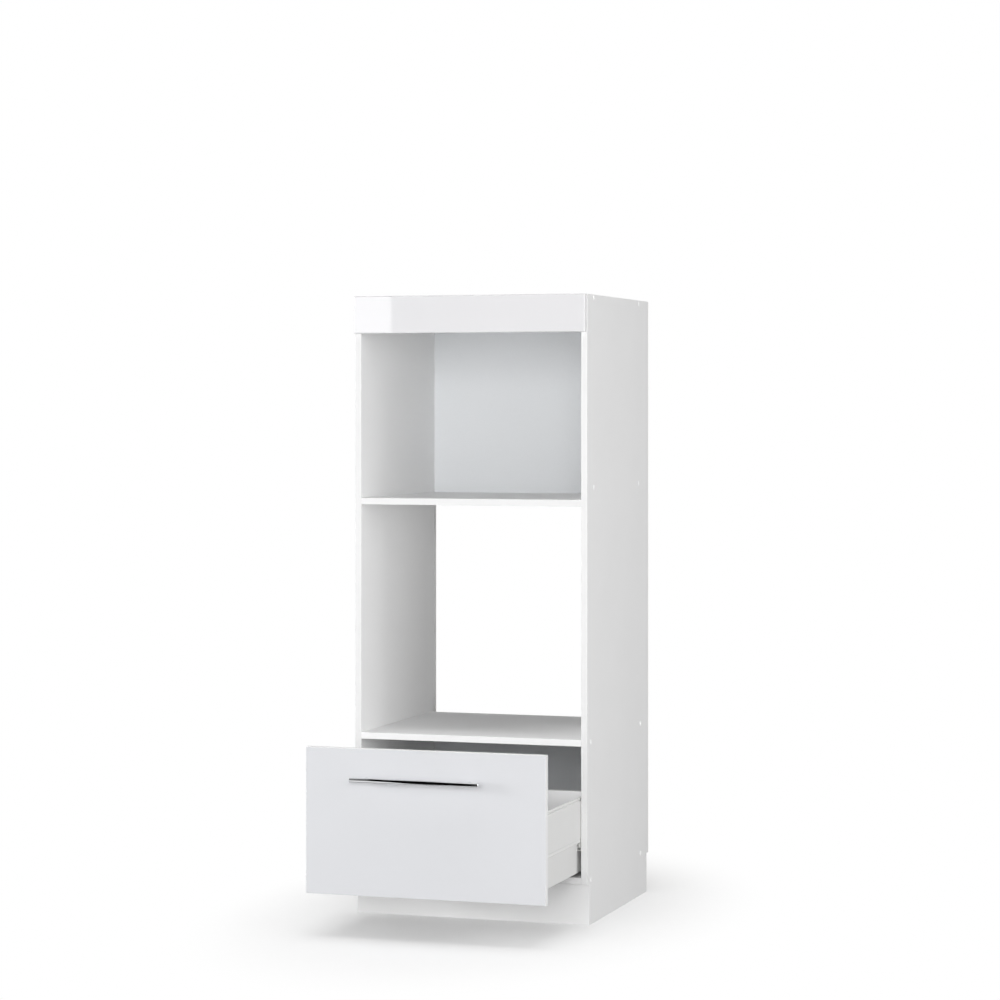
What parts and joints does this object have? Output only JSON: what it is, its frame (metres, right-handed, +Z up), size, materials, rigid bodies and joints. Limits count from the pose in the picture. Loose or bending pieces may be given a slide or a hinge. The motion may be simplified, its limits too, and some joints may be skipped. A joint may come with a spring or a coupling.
{
  "type": "microwave cabinet",
  "caption": "Tall white kitchen cabinet with an open microwave niche, an open-backed oven niche and a deep drawer on roller runners.",
  "frame": {"origin": "on the floor, in the middle of the width, under the middle of the front plinth board's thickness, 24 mm behind the front edges of the side panels", "axes": "+Z up, +Y from the front into the cabinet's depth, +X to the right as seen from the front"},
  "size_m": [0.602, 0.928, 1.53],
  "materials": {
    "white_board": "white melamine-faced chipboard, satin",
    "white_hardboard": "white lacquered hardboard, matt",
    "gloss_front": "high-gloss white laminate on chipboard",
    "satin_front": "smooth white laminate on chipboard",
    "plated_steel": "zinc-plated",
    "cam_zinc": "die-cast zinc alloy, dull",
    "cap_plastic": "moulded, fine matt",
    "beech_dowel": "turned beech",
    "runner_steel": "white powder coat on steel",
    "drawer_steel": "cream-white powder coat on steel",
    "roller_nylon": "turned white nylon",
    "bumper_clear": "soft clear bumper",
    "handle_chrome": "polished chrome on steel"
  },
  "bodies": {
    "root": {"side_left": "white_board", "side_right": "white_board", "top_panel": "white_board", "microwave_shelf": "white_board", "oven_shelf": "white_board", "bottom_panel": "white_board", "plinth_front": "white_board", "plinth_rear": "white_board", "upper_back": "white_hardboard", "lower_back": "white_hardboard", "fascia": "gloss_front", "angle_brackets": "plated_steel", "bracket_screws": "plated_steel", "confirmat_screws": "plated_steel", "screw_caps": "cap_plastic", "spare_hole_plugs": "cap_plastic", "dowels": "beech_dowel", "cam_bolts": "plated_steel", "cam_locks": "cam_zinc", "runner_left": "runner_steel", "runner_right": "runner_steel", "runner_screws": "plated_steel", "front_axles": "plated_steel"},
    "drawer": {"drawer_front": "satin_front", "front_bumpers": "bumper_clear", "handle_bar": "handle_chrome", "handle_posts": "handle_chrome", "handle_screws": "plated_steel", "drawer_side_left": "drawer_steel", "drawer_side_right": "drawer_steel", "front_brackets": "runner_steel", "rear_brackets": "runner_steel", "drawer_back": "white_board", "drawer_bottom": "white_board", "drawer_screws": "plated_steel", "rear_axles": "plated_steel"},
    "front_roller_left": {"front_roller_left": "roller_nylon"},
    "front_roller_right": {"front_roller_right": "roller_nylon"},
    "rear_roller_left": {"rear_roller_left": "roller_nylon"},
    "rear_roller_right": {"rear_roller_right": "roller_nylon"}
  },
  "joints": [
    {"name": "drawer_slide", "type": "slide", "parent": "root", "child": "drawer", "axis": [0, -1, 0], "range_m": [-0.3155, 0.0279]},
    {"name": "front_roller_left_turn", "type": "hinge", "parent": "root", "child": "front_roller_left", "pos_m": [-0.27765, -0.01, 0.1937], "axis": [1, 0, 0], "continuous": true},
    {"name": "front_roller_right_turn", "type": "hinge", "parent": "root", "child": "front_roller_right", "pos_m": [0.27765, -0.01, 0.1937], "axis": [1, 0, 0], "continuous": true},
    {"name": "rear_roller_left_turn", "type": "hinge", "parent": "drawer", "child": "rear_roller_left", "pos_m": [-0.27765, 0.094, 0.191], "axis": [1, 0, 0], "continuous": true},
    {"name": "rear_roller_right_turn", "type": "hinge", "parent": "drawer", "child": "rear_roller_right", "pos_m": [0.27765, 0.094, 0.191], "axis": [1, 0, 0], "continuous": true}
  ],
  "couplings": [
    {"joint": "front_roller_left_turn", "follows": "drawer_slide", "rad_per_m": 133.33},
    {"joint": "front_roller_right_turn", "follows": "drawer_slide", "rad_per_m": 133.33},
    {"joint": "rear_roller_left_turn", "follows": "drawer_slide", "rad_per_m": 133.33},
    {"joint": "rear_roller_right_turn", "follows": "drawer_slide", "rad_per_m": 133.33}
  ]
}
